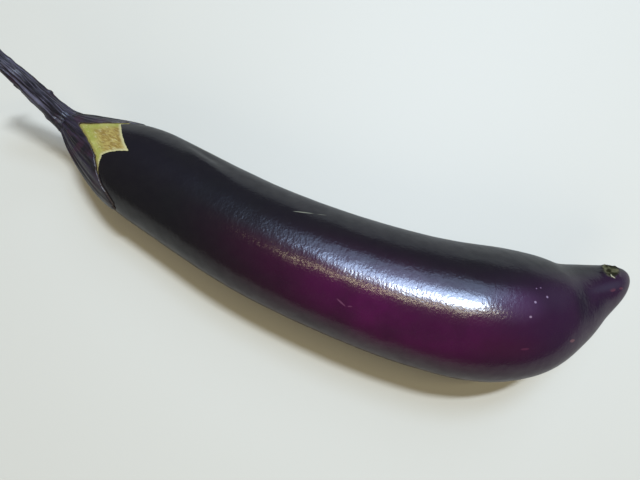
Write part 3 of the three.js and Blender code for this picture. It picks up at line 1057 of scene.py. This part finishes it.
stem_relief += 0.13 * MM * soft_waves(stem_places, seed=5, count=14, longest=10 * MM, shortest=3.5 * MM)
for along, bearing, height, width in STEM_HUMPS:
    turned = np.abs(np.angle(np.exp(1j * (stem_bearing - math.radians(bearing)))))
    off = np.hypot(stem_along - along * MM, turned * np.linalg.norm(from_spine, axis=1))
    stem_relief += height * MM * swell(off, width * MM)
write_points(stem.data, stem_places + read_normals(stem.data) * stem_relief[:, None])
write_places(stem.data, "fibre", fibre_place(stem_bearing, -stem_along))
write_values(stem.data, "upward", np.sin(stem_bearing) * smooth_step(stem_along, 3 * MM, 12 * MM))
write_values(stem.data, "cut", smooth_step(stem_along, stem_body.length - 0.4 * MM, stem_body.length))
print("Stem:", len(stem.data.polygons), "faces")

# %% [markdown]
# ## Bristles
# Young eggplant stems carry bristles, and their stubs stay as small, hard grains. A Geometry Nodes tree
# scatters them over the stem, each one a flattened ball with its own size.

# %% Bristles
def make_stub_tree():
    """Small flattened balls scattered over a surface, joined to it."""
    tree = bpy.data.node_groups.new("stubs_over_a_surface", "GeometryNodeTree")
    identifiers = {
        "Surface": input_socket(tree, "Surface", "NodeSocketGeometry"),
        "Density": input_socket(tree, "Density", "NodeSocketFloat", 10.0),
        "Smallest": input_socket(tree, "Smallest", "NodeSocketFloat", 0.0001),
        "Largest": input_socket(tree, "Largest", "NodeSocketFloat", 0.0003),
        "Seed": input_socket(tree, "Seed", "NodeSocketInt", 0),
        "Finish": input_socket(tree, "Finish", "NodeSocketMaterial"),
    }
    tree.interface.new_socket(name="Stubbed", in_out="OUTPUT", socket_type="NodeSocketGeometry")
    given = add(tree, "NodeGroupInput")
    spread = add(tree, "GeometryNodeDistributePointsOnFaces",
                 {"Mesh": given["Surface"], "Density": given["Density"], "Seed": given["Seed"]})
    ball = add(tree, "GeometryNodeMeshIcoSphere", {"Radius": 1.0, "Subdivisions": 2})["Mesh"]
    ball = add(tree, "GeometryNodeTransform", {"Geometry": ball, "Scale": (1.0, 1.0, 0.7)})["Geometry"]
    turned = add(tree, "FunctionNodeAlignRotationToVector", {"Vector": spread["Normal"]}, axis="Z")[0]
    size = add(tree, "FunctionNodeRandomValue",
               {2: given["Smallest"], 3: given["Largest"], "Seed": given["Seed"]},
               data_type="FLOAT")[1]
    stubs = add(tree, "GeometryNodeInstanceOnPoints",
                {"Points": spread["Points"], "Instance": ball, "Rotation": turned,
                 "Scale": size})["Instances"]
    stubs = add(tree, "GeometryNodeSetShadeSmooth", {"Geometry": stubs})["Geometry"]
    both = add(tree, "GeometryNodeJoinGeometry", {"Geometry": stubs})
    tree.links.new(given["Surface"], both["Geometry"].node.inputs["Geometry"])
    real = add(tree, "GeometryNodeRealizeInstances", {"Geometry": both["Geometry"]})["Geometry"]
    finished = add(tree, "GeometryNodeSetMaterial",
                   {"Geometry": real, "Material": given["Finish"]})["Geometry"]
    add(tree, "NodeGroupOutput", {"Stubbed": finished})
    return tree, identifiers


stub_tree, stub_inputs = make_stub_tree()
bare_stem = stem
stem = grown("stem_stalk_stubbed", bare_stem.data, stub_tree, stub_inputs, Density=90000.0,
             Smallest=0.10 * MM, Largest=0.32 * MM, Seed=4, Finish=bark)
bpy.data.objects.remove(bare_stem)
print("Stem with stubs:", len(stem.data.polygons), "faces")

# %% [markdown]
# ## The stem's finish
# The stem has the calyx's fibres and colours. On its upper side the fibres are painted a paler, silvery
# violet, a painted highlight, and the cut shows the pale, raw inside.

# %% The stem's finish
t = bark_tree
tone, fibres, clouds = fibrous(t, color(0.0040, 0.0029, 0.0050), color(0.032, 0.026, 0.040),
                               color(0.020, 0.006, 0.012))
# painted highlight: paler, silvery violet fibres on the stem's upper side, where the lamps shine on it
on_top = between(t, stored(t, "upward"), 0.1, 0.95)
on_top = calculate(t, "MULTIPLY", on_top, between(t, fibres, 0.48, 0.64))
tone = blend(t, on_top, tone, color(0.080, 0.072, 0.098))
grain = noise(t, add(t, "ShaderNodeTexCoord")["Object"], 900, detail=3)
tone = blend(t, stored(t, "cut"), tone, color(0.30, 0.27, 0.14))
t.links.new(tone, bark_shader.inputs["Base Color"])
t.links.new(between(t, clouds, 0.3, 0.7, 0.32, 0.48), bark_shader.inputs["Roughness"])
t.links.new(bump(t, grain, 0.07 * MM, bump(t, fibres, 0.35 * MM)), bark_shader.inputs["Normal"])

# %% [markdown]
# ## The pieces on the frame
# Each piece moves with the frame's one body, and stands for the plain solid of the same part, which is
# hidden.

# %% Riding
for piece, node, slot in ((fruit, "fruit", "skin"), (calyx, "calyx", "calyx"), (stem, "stem", "stem")):
    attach(piece, "root")
    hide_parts(node)
